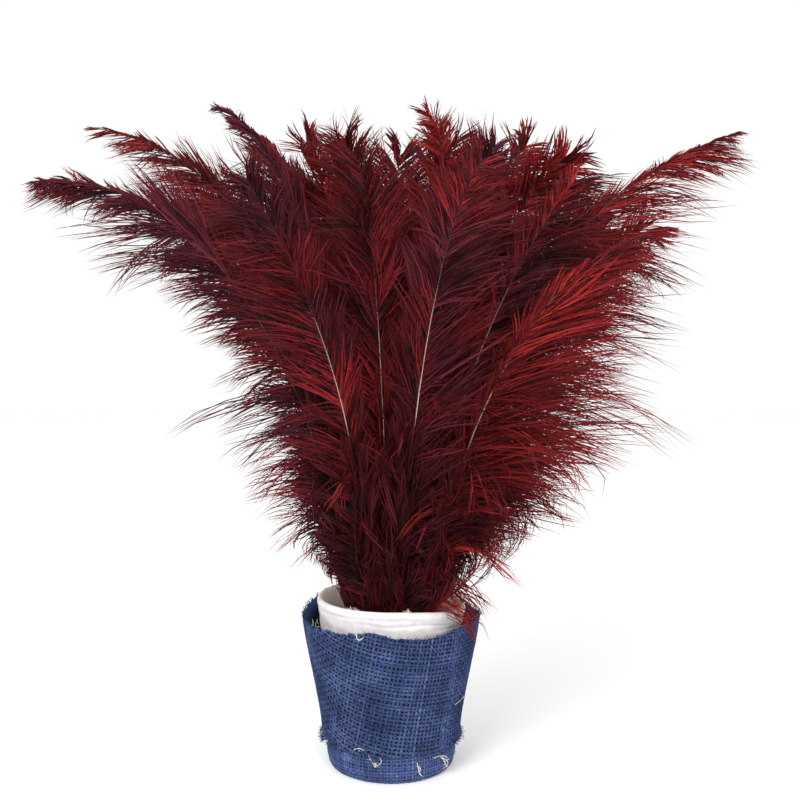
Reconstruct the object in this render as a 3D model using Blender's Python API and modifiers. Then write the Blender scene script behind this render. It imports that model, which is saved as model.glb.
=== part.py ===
"""A bunch of dyed ostrich feathers standing in a burlap-covered vase with a white lining.

Metres, +Z up. The origin is the middle of the vase's underside, and the front of the bunch faces -Y.
The feathers stand in fan-shaped layers, one behind the other, so that no two of them share any space.
"""

import math

import bpy
from mathutils import Vector

MM = 0.001

# The vase: every radius follows one straight taper, measured at the sleeve's outside.
FOOT_RADIUS = 36.2 * MM
TAPER = 0.2
SLEEVE_CLOTH = 1.8 * MM
BASE_FLOOR = 1.6 * MM
LINING_WALL = 2.2 * MM
GAP = 0.3 * MM
HEM_HEIGHT = 17.5 * MM
BASE_TOP = 27.0 * MM
SLEEVE_TOP = 91.5 * MM
RIM_FLARE_START = 72.0 * MM
LINING_TOP = 101.3 * MM
LINING_DIP = 6.0 * MM
LINING_FOOT_RADIUS = 34.2 * MM
LINING_TAPER = 0.1
ROUND_STEPS = 40

# Where the sleeve's torn rim leaves SLEEVE_TOP: (compass angle, half width in degrees, rise in mm).
RIM_CHANGES = (
    (150, 16, 4.5),
    (258, 9, 2.5),
    (290, 18, -1.8),
    (325, 12, 2.2),
)

# The bunch: layers run from the front (-1) to the back, where the bunch leans out a little further.
FRONT_LAYER = -1.0
BACK_LAYER = 1.2
FOOT_REST = 4.6 * MM
FAN_HEIGHT = 400 * MM
FOOT_DEPTH = 17 * MM
FAN_DEPTH = 122 * MM
FAN_HALF_WIDTH = 200 * MM
SIDE_PULL = 0.45
FOOT_SPACING = 7 * MM
RISE = 0.55
LEAN_IN = 0.10

# A feather: its quill, then the blade that its barbs fill.
QUILL_RADIUS = 1.6 * MM
QUILL_TIP_RADIUS = 0.35 * MM
BLADE_HALF_THICKNESS = 0.35 * MM
TIP_OVERHANG = 24 * MM
OVERHANG_SHOULDER = 1.04
OVERHANG_END = 1.06
VANE_START = 0.19
STATIONS = (0, 0.12, 0.185, 0.21, 0.25, 0.30, 0.37, 0.45, 0.54, 0.63, 0.72, 0.80, 0.87, 0.93, 0.97, 1)
LAYER_SHARE = 0.40
EDGE_CLEARANCE = 1.0 * MM
FORWARD_SHARE = 0.25
NARROWING = 0.94
NARROWINGS = 60
OUTER_DROOP = 0.30
BLADE_EDGES = (0, 4)

# layer, tip to the side, tip height, lean of the tip (degrees from upright, right is positive),
# how far down the quill that lean reaches, barb length, dye. Lengths are in mm. Left to right in each layer.
FEATHERS = (
    (-1.00, -85, 355, -30, 0.35, 50, "wine"),
    (-1.00, 68, 362, 95, 0.12, 48, "wine"),
    (-1.00, 150, 318, 80, 0.25, 62, "crimson"),
    (-0.71, -192, 340, -100, 0.35, 54, "plum"),
    (-0.71, -24, 366, -30, 0.10, 50, "wine"),
    (-0.71, 115, 362, 42, 0.22, 52, "wine"),
    (-0.43, -91, 383, -95, 0.12, 50, "plum"),
    (-0.43, -1, 385, -90, 0.20, 46, "crimson"),
    (-0.43, 196, 373, 72, 0.35, 60, "crimson"),
    (-0.14, -172, 378, -95, 0.30, 46, "brick"),
    (-0.14, -29, 388, -8, 0.20, 52, "brick"),
    (-0.14, 80, 380, 85, 0.09, 50, "plum"),
    (-0.14, 168, 330, 60, 0.30, 56, "crimson"),
    (0.14, -142, 352, -70, 0.30, 56, "wine"),
    (0.14, -62, 388, -28, 0.20, 52, "crimson"),
    (0.14, 42, 390, 20, 0.20, 52, "wine"),
    (0.14, 128, 378, 60, 0.22, 54, "crimson"),
    (0.45, -112, 398, -80, 0.20, 50, "plum"),
    (0.45, 4, 398, 10, 0.20, 54, "wine"),
    (0.45, 106, 392, 52, 0.20, 54, "crimson"),
    (0.80, -158, 345, -68, 0.30, 58, "wine"),
    (0.80, -46, 396, -20, 0.20, 54, "crimson"),
    (0.80, 66, 394, 32, 0.20, 54, "wine"),
    (0.80, 162, 340, 68, 0.30, 58, "wine"),
    (1.20, -104, 352, -50, 0.25, 58, "wine"),
    (1.20, 2, 378, -10, 0.20, 56, "plum"),
    (1.20, 98, 356, 46, 0.25, 58, "wine"),
)

# Linear colours of the dyed cloth, the lining and the feathers.
BURLAP_BLUE = (0.045, 0.075, 0.20)
LINING_WHITE = (0.86, 0.84, 0.81)
FEATHER_DYES = {
    "wine": (0.075, 0.008, 0.010),
    "crimson": (0.26, 0.015, 0.016),
    "brick": (0.30, 0.032, 0.016),
    "plum": (0.045, 0.010, 0.024),
}


def clear_scene():
    for obj in list(bpy.data.objects):
        bpy.data.objects.remove(obj)


def new_collection(name):
    collection = bpy.data.collections.new(name)
    bpy.context.scene.collection.children.link(collection)
    return collection


def material(name, colour, roughness):
    made = bpy.data.materials.new(name)
    made.use_nodes = True
    shader = made.node_tree.nodes["Principled BSDF"]
    shader.inputs["Base Color"].default_value = (*colour, 1)
    shader.inputs["Roughness"].default_value = roughness
    shader.inputs["Metallic"].default_value = 0
    made.diffuse_color = (*colour, 1)
    return made


def mesh_object(name, points, faces, surface):
    mesh = bpy.data.meshes.new(name)
    mesh.from_pydata(points, [], faces)
    mesh.materials.append(surface)
    obj = bpy.data.objects.new(name, mesh)
    PARTS.objects.link(obj)
    return obj


def turned(name, profile, surface):
    """A solid of revolution about Z. The profile is (radius, height) pairs down the outer side, then up the inner one."""
    count = len(profile)
    loop = [(i, (i + 1) % count) for i in range(count)]
    edges = [(a, b) for a, b in loop if profile[a][0] > 0 or profile[b][0] > 0]
    mesh = bpy.data.meshes.new(name)
    mesh.from_pydata([(radius, 0, height) for radius, height in profile], edges, [])
    obj = bpy.data.objects.new(name, mesh)
    PARTS.objects.link(obj)
    screw = obj.modifiers.new("turn", "SCREW")
    screw.axis = "Z"
    screw.angle = math.tau
    screw.steps = ROUND_STEPS
    screw.render_steps = ROUND_STEPS
    screw.use_merge_vertices = True
    screw.merge_threshold = 0.00005
    screw.use_smooth_shade = True
    graph = bpy.context.evaluated_depsgraph_get()
    solid = bpy.data.meshes.new_from_object(obj.evaluated_get(graph))
    obj.modifiers.clear()
    obj.data = solid
    solid.materials.append(surface)
    return obj


def sleeve_radius(height):
    """The sleeve's outer radius. Its taper eases off towards the rim."""
    flare = max(0.0, height - RIM_FLARE_START)
    return FOOT_RADIUS + TAPER * height - 2.2 * flare**2


def lining_radius(height):
    return LINING_FOOT_RADIUS + LINING_TAPER * height


def compass(point):
    """Degrees round the vase: 0 at the right, 90 at the back, 180 at the left and 270 at the front."""
    return math.degrees(math.atan2(point.y, point.x)) % 360


def rim_rise(angle):
    """How far the torn rim stands above or below its usual height at a compass angle."""
    rise = 0.0
    for place, width, height in RIM_CHANGES:
        away = (angle - place + 180) % 360 - 180
        rise += height * MM * math.exp(-((away / width) ** 2))
    return rise


def make_base():
    """The burlap cup round the foot. It puffs out a little below the sleeve's hem."""
    outer = [
        (sleeve_radius(BASE_TOP) - SLEEVE_CLOTH - GAP, BASE_TOP),
        (sleeve_radius(HEM_HEIGHT) - SLEEVE_CLOTH - GAP, HEM_HEIGHT),
        (FOOT_RADIUS + 2.6 * MM, 13.5 * MM),
        (FOOT_RADIUS + 2.8 * MM, 8.0 * MM),
        (FOOT_RADIUS + 1.6 * MM, 2.4 * MM),
        (FOOT_RADIUS + 0.4 * MM, 0.6 * MM),
        (FOOT_RADIUS - 1.4 * MM, 0.0),
        (0.0, 0.0),
    ]
    inner = [
        (0.0, BASE_FLOOR),
        (lining_radius(BASE_FLOOR) + GAP, BASE_FLOOR),
        (lining_radius(BASE_TOP) + GAP, BASE_TOP),
    ]
    return turned("burlap_base", outer + inner, BURLAP)


def make_liner():
    """The vessel with its white lining, which is rolled over at the rim. The roll sags at the right."""
    seat = BASE_FLOOR + GAP
    top = LINING_TOP
    outer = [
        (lining_radius(top) - 1.2 * MM, top + 1.3 * MM),
        (lining_radius(top) + 0.2 * MM, top + 0.5 * MM),
        (lining_radius(top) + 0.7 * MM, top - 1.5 * MM),
        (lining_radius(top) + 0.2 * MM, top - 4.0 * MM),
        (lining_radius(0.6 * top), 0.6 * top),
        (lining_radius(3 * MM), 3.0 * MM),
        (lining_radius(0) - 0.6 * MM, seat),
        (0.0, seat),
    ]
    inner = [
        (0.0, seat + LINING_WALL),
        (lining_radius(seat) - LINING_WALL - 0.8 * MM, seat + LINING_WALL),
        (lining_radius(6 * MM) - LINING_WALL, 6.0 * MM),
        (lining_radius(0.6 * top) - LINING_WALL, 0.6 * top),
        (lining_radius(top) - LINING_WALL - 0.6 * MM, top - 1.5 * MM),
        (lining_radius(top) - LINING_WALL, top + 0.6 * MM),
    ]
    liner = turned("liner", outer + inner, LINING)
    for vertex in liner.data.vertices:
        share = max(0.0, vertex.co.z / top - 0.6) / 0.4
        vertex.co.z -= LINING_DIP * share * max(0.0, vertex.co.x / lining_radius(top)) ** 2
    return liner


def make_sleeve():
    """The burlap wrap, open at both ends. Its torn rim rises and dips round the vase."""
    heights = [HEM_HEIGHT + GAP, 42 * MM, RIM_FLARE_START, SLEEVE_TOP]
    outer = [(sleeve_radius(h), h) for h in reversed(heights)]
    inner = [(sleeve_radius(h) - SLEEVE_CLOTH, h) for h in heights]
    sleeve = turned("burlap_sleeve", outer + inner, BURLAP)
    for vertex in sleeve.data.vertices:
        if vertex.co.z > RIM_FLARE_START + GAP:
            vertex.co.z += rim_rise(compass(vertex.co))
    return sleeve


def layer_depth(layer, side, height):
    """How far back a layer of the fan lies at a place on it. Layers open out with height and close in at the sides."""
    up = max(0.0, height / FAN_HEIGHT)
    open_out = FOOT_DEPTH + (FAN_DEPTH - FOOT_DEPTH) * (0.3 * up + 0.7 * up**2)
    across = min(1.0, abs(side) / FAN_HALF_WIDTH)
    return layer * open_out * (1 - SIDE_PULL * up * across**2)


def quill_curve(feather, foot_side, share):
    """(side, height) of the quill at a share of its length: upright at the foot, bending over to the tip's lean."""
    _, side, height, lean, sweep, _, _ = feather
    start = Vector((foot_side, FOOT_REST))
    end = Vector((side * MM, height * MM))
    reach = (end - start).length * sweep
    lean = math.radians(lean)
    first = start + Vector((LEAN_IN * (end.x - start.x), RISE * (end.y - start.y)))
    second = end - reach * Vector((math.sin(lean), math.cos(lean)))
    back = 1 - share
    return back**3 * start + 3 * back**2 * share * first + 3 * back * share**2 * second + share**3 * end


def quill_line(feather, foot_side):
    """Points along the quill, then on past its tip in a straight line to where the last barbs end."""
    points = [quill_curve(feather, foot_side, share) for share in STATIONS]
    onward = (points[-1] - points[-2]).normalized()
    points.append(points[-1] + 0.6 * TIP_OVERHANG * onward)
    points.append(points[-1] + 0.4 * TIP_OVERHANG * onward)
    return points


def vane_shape(share):
    """How much of the barbs' full reach the blade has at a share of the quill's length, past 1 at the overhang."""
    if share < VANE_START:
        return 0.0
    if share > 1:
        return 0.2 if share < OVERHANG_END else 0.03
    along = (share - VANE_START) / (1 - VANE_START)
    opening = min(1.0, along / 0.26)
    closing = 1.0 if along < 0.6 else max(0.0, 1 - 0.62 * ((along - 0.6) / 0.4) ** 1.6)
    return math.sin(opening * math.pi / 2) * closing


def room_beside(point, way, others):
    """How wide the blade may be on one side before it meets a neighbour in its own layer."""
    room = math.inf
    for line in others:
        for other in line:
            across = (other - point).dot(way)
            if across > 0:
                room = min(room, (other - point).length)
    return max(QUILL_RADIUS, LAYER_SHARE * room - EDGE_CLEARANCE)


def unfolded(line, ways, widths):
    """Narrows one side of the blade until its edge runs forward beside the quill all the way."""
    for _ in range(NARROWINGS):
        edges = [point + way * width for point, way, width in zip(line, ways, widths)]
        for i in range(len(line) - 1):
            step = line[i + 1] - line[i]
            if (edges[i + 1] - edges[i]).dot(step) < FORWARD_SHARE * step.length_squared:
                widths[i] = max(QUILL_TIP_RADIUS, NARROWING * widths[i])
                widths[i + 1] = max(QUILL_TIP_RADIUS, NARROWING * widths[i + 1])
    return widths


def placed(layer, flat, out=0.0):
    """A point of the layer in space. out moves it away from the bunch's middle."""
    depth = layer_depth(layer, flat.x, flat.y)
    return Vector((flat.x, depth + math.copysign(out, layer), flat.y))


def section(layer, point, across, radius, left, right):
    """Eight points round the quill and its two wings, anticlockwise as seen from the tip."""
    ring = []
    wing = min(radius, BLADE_HALF_THICKNESS) if max(left, right) > radius else 0.7 * radius
    outermost = layer in (FRONT_LAYER, BACK_LAYER)
    middle = placed(layer, point)
    ahead = Vector((across.x, 0, across.y))
    for reach in (right, -left):
        droop = OUTER_DROOP * max(0.0, abs(reach) - 12 * MM) if outermost else 0.0
        edge = placed(layer, point + across * reach, droop)
        side = math.copysign(0.8 * radius, reach)
        shoulder = middle + ahead * side
        front = Vector((0, -1, 0)) if reach > 0 else Vector((0, 1, 0))
        ring.append(edge)
        ring.append(shoulder - front * wing)
        ring.append(middle - front * radius)
        ring.append(middle - ahead * side - front * wing)
    return ring


def wall(start, i, j):
    """The face between two sections. Both faces of a wing are split the same way, so they can't cross at its edge."""
    low, high = (start + i, start + j), (start + 8 + i, start + 8 + j)
    if i in BLADE_EDGES:
        return [(low[0], low[1], high[1]), (low[0], high[1], high[0])]
    if j in BLADE_EDGES:
        return [(low[0], low[1], high[0]), (low[1], high[1], high[0])]
    return [(low[0], low[1], high[1], high[0])]


def make_feather(number, feather, foot_side, others):
    """One feather as one closed solid: a round quill that flattens into the thin blade its barbs fill."""
    layer, reach = feather[0], feather[5] * MM
    line = quill_line(feather, foot_side)
    shares = STATIONS + (OVERHANG_SHOULDER, OVERHANG_END)
    radii = [QUILL_RADIUS + (QUILL_TIP_RADIUS - QUILL_RADIUS) * min(1.0, share) for share in shares]
    full = [max(radius, reach * vane_shape(share)) for radius, share in zip(radii, shares)]
    rights = []
    for i in range(len(line)):
        ahead = (line[min(i + 1, len(line) - 1)] - line[max(i - 1, 0)]).normalized()
        rights.append(Vector((ahead.y, -ahead.x)))
    sides = []
    for ways in ([-way for way in rights], rights):
        widths = [min(width, room_beside(point, way, others)) for point, way, width in zip(line, ways, full)]
        sides.append(unfolded(line, ways, widths))
    points = []
    for point, across, radius, left, right in zip(line, rights, radii, *sides):
        points.extend(section(layer, point, across, radius, left, right))
    faces = [tuple(range(8))[::-1]]
    for start in range(0, len(points) - 8, 8):
        for i in range(8):
            faces.extend(wall(start, i, (i + 1) % 8))
    faces.append(tuple(range(len(points) - 8, len(points))))
    return mesh_object(f"feather_{number:02d}", points, faces, DYES[feather[6]])


def make_feathers():
    layers = {}
    for number, feather in enumerate(FEATHERS, 1):
        layers.setdefault(feather[0], []).append((number, feather))
    for members in layers.values():
        middle = (len(members) - 1) / 2
        feet = [(i - middle) * FOOT_SPACING for i in range(len(members))]
        lines = [quill_line(feather, foot) for (_, feather), foot in zip(members, feet)]
        for i, (number, feather) in enumerate(members):
            others = lines[:i] + lines[i + 1 :]
            make_feather(number, feather, feet[i], others)


clear_scene()
PARTS = new_collection("ostrich_feathers_in_vase")
BURLAP = material("navy burlap", BURLAP_BLUE, 0.95)
LINING = material("white cotton", LINING_WHITE, 0.85)
DYES = {name: material(f"{name} feather", colour, 0.7) for name, colour in FEATHER_DYES.items()}
make_base()
make_liner()
make_sleeve()
make_feathers()
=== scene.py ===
"""The look of a bunch of dyed ostrich feathers in a burlap-covered vase with a white cotton lining.

Every feather is one mesh: a tapering quill and its loose barbs, which gather in tufts. The burlap is woven
from real threads. It is laid out as flat cloth and wrapped once round the cone of the vase.
"""

import math
from collections import namedtuple

import bpy
import numpy as np
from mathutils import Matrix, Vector


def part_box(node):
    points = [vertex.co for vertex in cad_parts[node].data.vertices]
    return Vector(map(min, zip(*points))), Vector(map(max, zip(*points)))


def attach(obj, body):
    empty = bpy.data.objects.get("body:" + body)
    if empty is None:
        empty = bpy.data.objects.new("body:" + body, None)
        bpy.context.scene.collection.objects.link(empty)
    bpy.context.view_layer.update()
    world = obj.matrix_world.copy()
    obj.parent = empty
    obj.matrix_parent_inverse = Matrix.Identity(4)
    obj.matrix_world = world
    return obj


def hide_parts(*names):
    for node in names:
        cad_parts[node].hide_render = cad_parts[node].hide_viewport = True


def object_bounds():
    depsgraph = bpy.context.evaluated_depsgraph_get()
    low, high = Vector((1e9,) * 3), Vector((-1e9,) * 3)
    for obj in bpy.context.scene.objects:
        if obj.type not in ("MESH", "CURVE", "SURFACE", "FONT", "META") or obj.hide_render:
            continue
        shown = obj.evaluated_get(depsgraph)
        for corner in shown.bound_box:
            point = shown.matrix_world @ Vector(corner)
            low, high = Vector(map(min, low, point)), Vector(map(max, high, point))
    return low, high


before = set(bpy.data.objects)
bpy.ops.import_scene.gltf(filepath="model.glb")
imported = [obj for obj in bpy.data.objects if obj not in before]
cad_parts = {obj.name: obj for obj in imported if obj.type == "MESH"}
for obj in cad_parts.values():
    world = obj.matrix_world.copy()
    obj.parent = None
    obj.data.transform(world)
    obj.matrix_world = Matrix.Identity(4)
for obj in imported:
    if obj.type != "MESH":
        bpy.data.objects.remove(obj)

CAD_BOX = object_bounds()

# The frame's overall height gives the scale of everything that is stated in millimetres.
FRAME_HEIGHT_MM = 421.9
MM = (CAD_BOX[1].z - CAD_BOX[0].z) / FRAME_HEIGHT_MM
FLOOR = CAD_BOX[0].z

# The vase. Its side is one straight taper, measured at the sleeve's outside. The cloth's nap adds its fuzz.
TAPER = 0.2
FOOT_RADIUS = 36.2 * MM
SLEEVE_CLOTH = 1.8 * MM
FUZZ = 0.7 * MM
# How far the sleeve's hem stands off the base cup, and how far up that dies away.
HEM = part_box("burlap_sleeve")[0].z
HEM_STAND = 2.2 * MM
HEM_STAND_REACH = 9 * MM
# The rim's height, and where and how much the side steepens below it.
RIM = 91.5 * MM
RIM_FLARE_START = 72.0 * MM
RIM_FLARE = 2.2 / (1000 * MM)
# The base cup. It shows up to the sleeve's hem, and its cut takes in what is turned under the foot.
BASE_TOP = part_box("burlap_base")[1].z
BASE_SHOWN = 19 * MM
BASE_MID_RADIUS = 38.5 * MM
# The base cup's outside, as (height, radius) in mm. It puffs out below the sleeve's hem.
BASE_PROFILE = ((0, 34.8), (0.6, 36.6), (2.4, 37.8), (8, 39), (13.5, 38.8), (17.5, 37.6), (27, 39.5))
# The lining, which stands proud of the burlap and dips at the right.
LINING_TAPER = 0.1
LINING_FOOT_RADIUS = 34.2 * MM
LINING_TOP = 101.3 * MM
LINING_DIP = 6.0 * MM
LINING_WALL = 2.2 * MM

# Where the torn rim leaves its usual height: (compass angle, half width in degrees, rise in mm).
# The compass has 0 at the right, 90 at the back, 180 at the left and 270 at the front.
RIM_CHANGES = ((150, 16, 4.5), (258, 9, 2.5), (290, 18, -1.8), (325, 12, 2.2))

# The bunch: the same fan of layers as the frame's feathers. Its depths are how far back layer 1 lies at the
# foot and at the fan's height. Towards the sides the layers draw together.
FOOT_REST = 4.6 * MM
FOOT_SPACING = 7 * MM
FOOT_DEPTH = 17 * MM
FAN_HEIGHT = 400 * MM
FAN_DEPTH = 122 * MM
FAN_HALF_WIDTH = 200 * MM
SIDE_PULL = 0.45
# The first handle of a quill's curve, as shares of the way up and across to its tip.
RISE = 0.55
LEAN_IN = 0.10

# Each feather has its layer in the fan, how far its tip is to the side and how high, in mm, its tip's lean
# in degrees and how far down the quill that lean reaches, the length of its barbs in mm, the share of that
# length on the side that faces into the bunch, its dye, its number of tufts, and how stained its quill is.
Feather = namedtuple("Feather", "layer side height lean lean_reach barb inner_share dye tufts stain")
FEATHERS = (
    Feather(-1.00, -85, 361, -30, 0.35, 54, 0.75, "wine", 300, 0.30),
    Feather(-1.00, 68, 362, 95, 0.12, 54, 0.85, "wine", 300, 0.05),
    Feather(-1.00, 150, 318, 80, 0.25, 66, 0.50, "crimson", 370, 0.30),
    Feather(-0.71, -207, 344, -96, 0.35, 58, 1.00, "plum", 360, 0.80),
    Feather(-0.71, -24, 374, -30, 0.10, 54, 1.00, "wine", 290, 0.15),
    Feather(-0.71, 115, 362, 42, 0.22, 56, 0.60, "wine", 290, 0.05),
    Feather(-0.43, -102, 386, -88, 0.14, 54, 1.00, "plum", 280, 0.90),
    Feather(-0.43, -6, 390, -90, 0.22, 44, 1.00, "crimson", 280, 0.50),
    Feather(-0.43, 204, 377, 72, 0.35, 62, 0.70, "crimson", 335, 0.05),
    Feather(-0.14, -182, 381, -86, 0.30, 60, 1.10, "brick", 245, 0.50),
    Feather(-0.14, -32, 400, -12, 0.20, 56, 1.00, "brick", 260, 0.60),
    Feather(-0.14, 80, 388, 85, 0.09, 54, 1.00, "plum", 260, 0.80),
    Feather(-0.14, 168, 334, 60, 0.30, 60, 1.00, "crimson", 260, 0.60),
    Feather(0.14, -142, 352, -70, 0.30, 58, 1.00, "wine", 245, 0.60),
    Feather(0.14, -64, 401, -30, 0.20, 56, 1.00, "crimson", 235, 0.60),
    Feather(0.14, 44, 399, 24, 0.20, 56, 1.00, "wine", 235, 0.60),
    Feather(0.14, 128, 384, 60, 0.22, 58, 1.00, "crimson", 235, 0.60),
    Feather(0.45, -112, 398, -80, 0.20, 54, 1.00, "plum", 235, 0.60),
    Feather(0.45, 10, 408, 10, 0.20, 58, 1.00, "wine", 235, 0.40),
    Feather(0.45, 106, 400, 52, 0.20, 58, 1.00, "crimson", 235, 0.60),
    Feather(0.80, -158, 345, -68, 0.30, 60, 1.00, "wine", 245, 0.30),
    Feather(0.80, -40, 408, -20, 0.20, 58, 1.00, "crimson", 245, 0.60),
    Feather(0.80, 70, 402, 32, 0.20, 58, 1.00, "wine", 245, 0.20),
    Feather(0.80, 162, 340, 68, 0.30, 60, 1.00, "wine", 245, 0.60),
    Feather(1.20, -104, 352, -50, 0.25, 60, 1.00, "wine", 270, 0.15),
    Feather(1.20, 2, 378, -10, 0.20, 58, 1.00, "plum", 270, 0.40),
    Feather(1.20, 98, 356, 46, 0.25, 60, 1.00, "wine", 270, 0.20),
)
# The feather whose lowest barbs hang out over the vase's rim.
SPILLING_FEATHER = 3

# Quills: the points along each, and its radius in mm at shares of its length.
CURVE_POINTS = 400
QUILL_POINTS = 56
QUILL_SIDES = 6
QUILL_TAPER_AT = (0, 0.22, 0.36, 0.6, 1.0)
QUILL_TAPER = (1.5, 1.1, 0.52, 0.38, 0.14)
# The share of its curve that a quill runs along. Its barbs reach on to the tip.
SLENDER_TIP_SHARE = 0.98
BLUNT_TIP_SHARE = 0.93
QUILL_SLOT, BARB_SLOT = 0, 1

# Barbs. Behind the middle of the bunch, apart from its last layer, they are wider and fill it.
BARB_STEPS = 5
ALONG_BARB = np.linspace(0, 1, BARB_STEPS + 1)
BARB_WIDTH = 0.56 * MM
INNER_BARB_WIDTH = 0.95 * MM
THIN_BARB_WIDTH = 0.42 * MM
BARB_UV_COLUMNS = 4
BARB_UV_TOP = 0.97
# The share of barbs that are darker than the rest of their tuft: partly dark barbules, partly painted shade
# between the strands.
DARK_BARBS = 0.25

# Where on the quill the vanes start, the barbs in each of their tufts, the share of tufts that stand wild,
# and the share of the outer ones at the bunch's left that stay long.
VANE_START = 0.13
VANE_MEMBERS = 8
WILD_SHARE = 0.14
LONG_LOCKS = 0.12
# Tips further to the side than this in mm have sagging locks. Tips that lean more than this in degrees are
# curled, and those of them that are further to the side than this in mm are slender.
OUTER_TIP = 130
CURLED_TIP = 72
SLENDER_TIP = 85
# Tufts of each kind of loose down on a feather.
FLUFF_TUFTS = 24
COVER_TUFTS = 14
FRONT_COVER_TUFTS = 40
STRAY_TUFTS = 7
LOCK_TUFTS = 9
SPILL_TUFTS = 12

# How the vase's mouth squeezes the barbs, how that lets go above it, and their gap from its wall.
MOUTH_HALF_WIDTH = 27 * MM
MOUTH_HALF_DEPTH = 38.5 * MM
MOUTH_OPENING = 0.011 / MM
MOUTH_REACH = 85 * MM
LIP_OPENING = 2.2
WALL_GAP = 1.2 * MM
# Barbs are free up to these shares of the room that they have, and ease off above them.
FREE_SHARE = 0.7
DEPTH_FREE_SHARE = 0.9

# Burlap: its threads' spacing, width and thickness, and how far they ride over and under each other.
THREAD_PITCH = 2.4 * MM
THREAD_WIDTH = 1.38 * MM
THREAD_THICKNESS = 0.75 * MM
THREAD_CRIMP = 0.34 * MM
# What is left of a thread at a corner of the wrap has to have this many points.
SHORTEST_THREAD = 3
# The compass angle at which the grain stands upright, and how far round from there the wrap starts and ends.
GRAIN_ANGLE = 322
WRAP_START = 20
WRAP_END = -368
# Where the outer end of the wrap starts to lift over the inner one, how soon it has lifted, and how far.
OVERLAP_START = -8
OVERLAP_RISE = 12
OVERLAP_LIFT = 0.9 * MM
# How far the uncut cloth reaches from where its grain stands upright: left, right, down and up.
CLOTH_REACH = (-285 * MM, 32 * MM, -135 * MM, 118 * MM)

# Below this an sRGB value is linear. Above it, it follows a power.
SRGB_KNEE = 0.04045
# What every dye goes to at its darkest: the deep dye itself, and the painted shade at the feathers' foot and
# in their dark down.
DEEPEST_DYE_AND_SHADE = "#0f0507"

# The compass angles where the hem is most worn, and the share of its loose fibres that are there.
WORN_PLACES = (2, 178, 208, 330)
WORN_SHARE = 0.35
# Loose fibres keep this far above the ground.
FIBRE_CLEARANCE = 0.3 * MM

# The seeds of what is random. The feathers count on from theirs.
FEATHER_SEED = 4100
SLEEVE_SEED = 77
BASE_SEED = 78
FRAY_SEED = 79
LINT_SEED = 80


def linear(hex_colour):
    """An sRGB hex colour as linear red, green and blue, and 1 for alpha."""
    channels = [int(hex_colour[i : i + 2], 16) / 255 for i in (1, 3, 5)]
    return [c / 12.92 if c <= SRGB_KNEE else ((c + 0.055) / 1.055) ** 2.4 for c in channels] + [1.0]


# ---------------------------------------------------------------- materials


def new_material(name):
    """A material with no nodes yet."""
    material = bpy.data.materials.new(name)
    material.use_nodes = True
    material.node_tree.nodes.clear()
    return material


def node(material, kind, inputs, output=0, stops=(), **settings):
    """Adds a node with its settings, inputs and colour stops, and gives one of its outputs to link on."""
    made = material.node_tree.nodes.new("ShaderNode" + kind)
    for key, value in settings.items():
        setattr(made, key, value)
    for key, value in inputs.items():
        if isinstance(value, bpy.types.NodeSocket):
            material.node_tree.links.new(value, made.inputs[key])
        else:
            made.inputs[key].default_value = value
    if stops:
        elements = made.color_ramp.elements
        while len(elements) < len(stops):
            elements.new(1.0)
        for element, (position, colour) in zip(elements, stops):
            element.position = position
            element.color = linear(colour)
    return made.outputs[output] if made.outputs else None


def spots(size):
    """A noise scale that gives spots of about this size in mm."""
    return 1 / (size * MM)


def finish_material(material, surface):
    """The material, once its surface is what it shows."""
    node(material, "OutputMaterial", {"Surface": surface})
    return material


def barb_material(name, dark, middle, bright, tip, patch_middle, patch_bright):
    """Dyed ostrich barbs: soft, matt and fuzzy. Some light comes through, and the dye took in patches."""
    material = new_material(name)
    along = node(material, "Attribute", {}, "Fac", attribute_name="along")
    shade = node(material, "Attribute", {}, "Fac", attribute_name="shade")
    place = node(material, "TexCoord", {}, "Object")
    patches = node(material, "TexNoise", {"Vector": place, "Scale": spots(45), "Detail": 2.0})
    fuzz = node(material, "TexNoise", {"Vector": place, "Scale": spots(0.77), "Detail": 1.0})
    fuzz = node(material, "Math", {0: fuzz, 1: 0.9}, operation="MULTIPLY")
    fuzz = node(material, "Math", {0: fuzz, 1: 0.45}, operation="SUBTRACT")
    tone = node(material, "Math", {0: shade, 1: fuzz}, operation="ADD")
    deep = [(0.0, DEEPEST_DYE_AND_SHADE), (0.3, dark)]
    body = node(material, "ValToRGB", {"Fac": tone}, stops=[*deep, (0.6, middle), (0.95, bright)])
    patch_stops = [*deep, (0.6, patch_middle), (0.95, patch_bright)]
    patch = node(material, "ValToRGB", {"Fac": tone}, stops=patch_stops)
    took = node(material, "MapRange", {"Value": patches, "From Min": 0.47, "From Max": 0.6})
    dyed = node(material, "Mix", {"Factor": took, "A": body, "B": patch}, "Result", data_type="RGBA")
    end = node(material, "MapRange", {"Value": along, "From Min": 0.45, "From Max": 1.0, "To Max": 0.7})
    colour = node(material, "Mix", {"Factor": end, "A": dyed, "B": linear(tip)}, "Result", data_type="RGBA")
    finish = {"Base Color": colour, "Roughness": 0.55, "Specular IOR Level": 0.12, "IOR": 1.55}
    surface = node(material, "BsdfPrincipled", finish)
    through = node(material, "BsdfTranslucent", {"Color": colour})
    return finish_material(material, node(material, "MixShader", {0: 0.3, 1: surface, 2: through}))


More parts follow.
